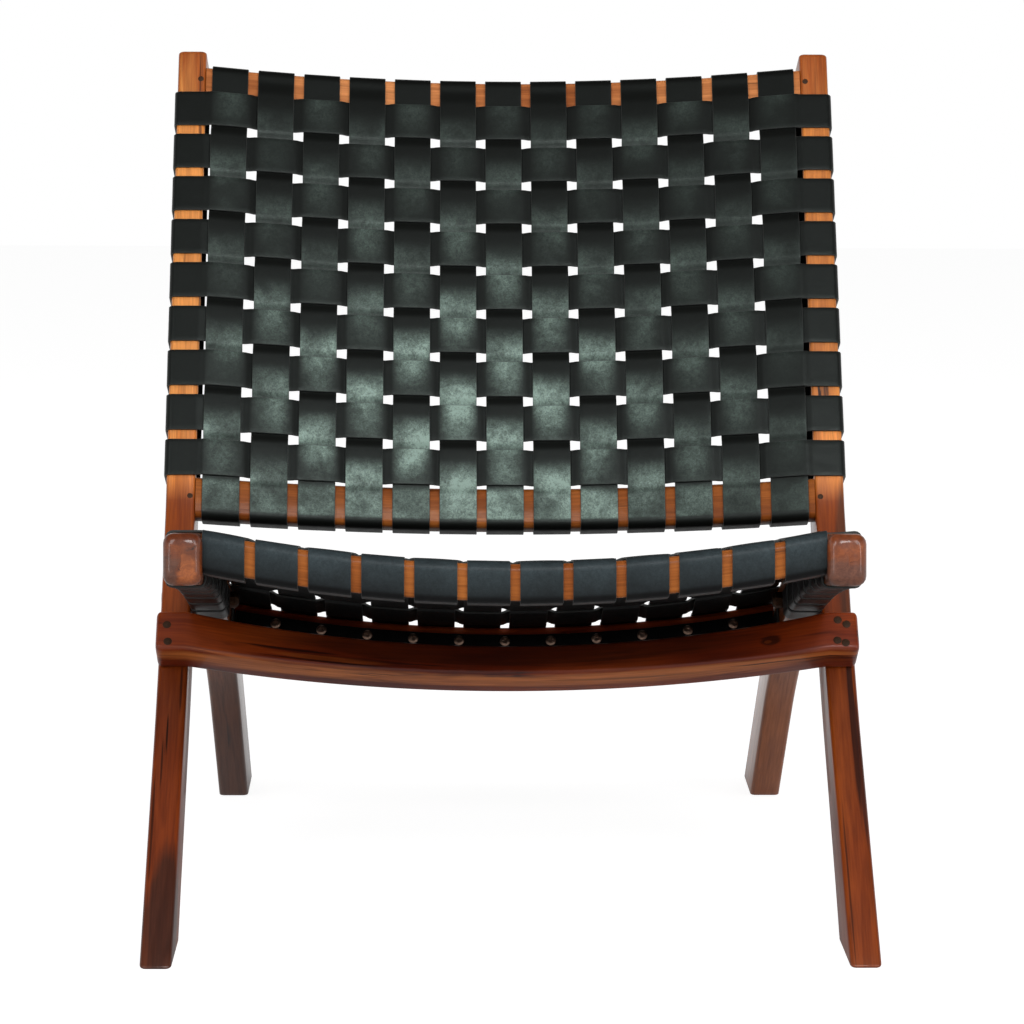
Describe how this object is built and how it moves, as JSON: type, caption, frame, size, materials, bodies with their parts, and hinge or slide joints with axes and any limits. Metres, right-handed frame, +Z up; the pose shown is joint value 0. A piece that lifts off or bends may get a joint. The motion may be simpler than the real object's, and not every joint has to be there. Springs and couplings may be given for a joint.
{
  "type": "folding lounge chair",
  "caption": "Low lounge chair on crossing bent wooden frames, with seat and back woven from wide leather straps; the seat frame turns on the side pivots to fold against the back.",
  "frame": {"origin": "on the floor, at the middle of the space that the open chair takes", "axes": "+Z up, -Y towards the front of the seat, +X to the right as seen from the front"},
  "size_m": [0.6586, 0.702, 0.7706],
  "materials": {
    "post_wood": "glossy lacquer, honey brown with dark streaks",
    "slat_wood": "glossy lacquer, orange brown",
    "rail_wood": "glossy lacquer, red brown",
    "crossbar_wood": "glossy lacquer, dark red brown",
    "strap_leather": "black, waxed, soft sheen with fine creases",
    "pivot_metal": "dull bronze-coloured plating"
  },
  "bodies": {
    "back_frame": {"left_post": "post_wood", "left_pivot_bolt": "pivot_metal", "left_pivot_nut": "pivot_metal", "left_pivot_washer": "pivot_metal", "right_post": "post_wood", "right_pivot_bolt": "pivot_metal", "right_pivot_nut": "pivot_metal", "right_pivot_washer": "pivot_metal", "top_slat": "slat_wood", "lower_slat": "slat_wood", "front_crossbar": "crossbar_wood", "back_strap_down_01": "strap_leather", "back_strap_down_02": "strap_leather", "back_strap_down_03": "strap_leather", "back_strap_down_04": "strap_leather", "back_strap_down_05": "strap_leather", "back_strap_down_06": "strap_leather", "back_strap_down_07": "strap_leather", "back_strap_down_08": "strap_leather", "back_strap_down_09": "strap_leather", "back_strap_down_10": "strap_leather", "back_strap_down_11": "strap_leather", "back_strap_down_12": "strap_leather", "back_strap_down_13": "strap_leather", "back_strap_across_01": "strap_leather", "back_strap_across_02": "strap_leather", "back_strap_across_03": "strap_leather", "back_strap_across_04": "strap_leather", "back_strap_across_05": "strap_leather", "back_strap_across_06": "strap_leather", "back_strap_across_07": "strap_leather", "back_strap_across_08": "strap_leather", "back_strap_across_09": "strap_leather"},
    "seat_frame": {"left_seat_rail": "rail_wood", "right_seat_rail": "rail_wood", "seat_front_bar": "slat_wood", "seat_rear_bar": "rail_wood", "rear_bar_strip": "strap_leather", "seat_strap_along_01": "strap_leather", "seat_strap_along_02": "strap_leather", "seat_strap_along_03": "strap_leather", "seat_strap_along_04": "strap_leather", "seat_strap_along_05": "strap_leather", "seat_strap_along_06": "strap_leather", "seat_strap_along_07": "strap_leather", "seat_strap_along_08": "strap_leather", "seat_strap_along_09": "strap_leather", "seat_strap_along_10": "strap_leather", "seat_strap_along_11": "strap_leather", "seat_strap_along_12": "strap_leather", "seat_strap_across_01": "strap_leather", "seat_strap_across_02": "strap_leather", "seat_strap_across_03": "strap_leather", "seat_strap_across_04": "strap_leather", "seat_strap_across_05": "strap_leather", "seat_strap_across_06": "strap_leather", "seat_strap_across_07": "strap_leather", "seat_strap_across_08": "strap_leather", "seat_strap_across_09": "strap_leather"}
  },
  "joints": [
    {"name": "seat_fold", "type": "hinge", "parent": "back_frame", "child": "seat_frame", "pos_m": [0, 0.01587, 0.266], "axis": [-1, 0, 0], "range_deg": [0, 68]}
  ]
}
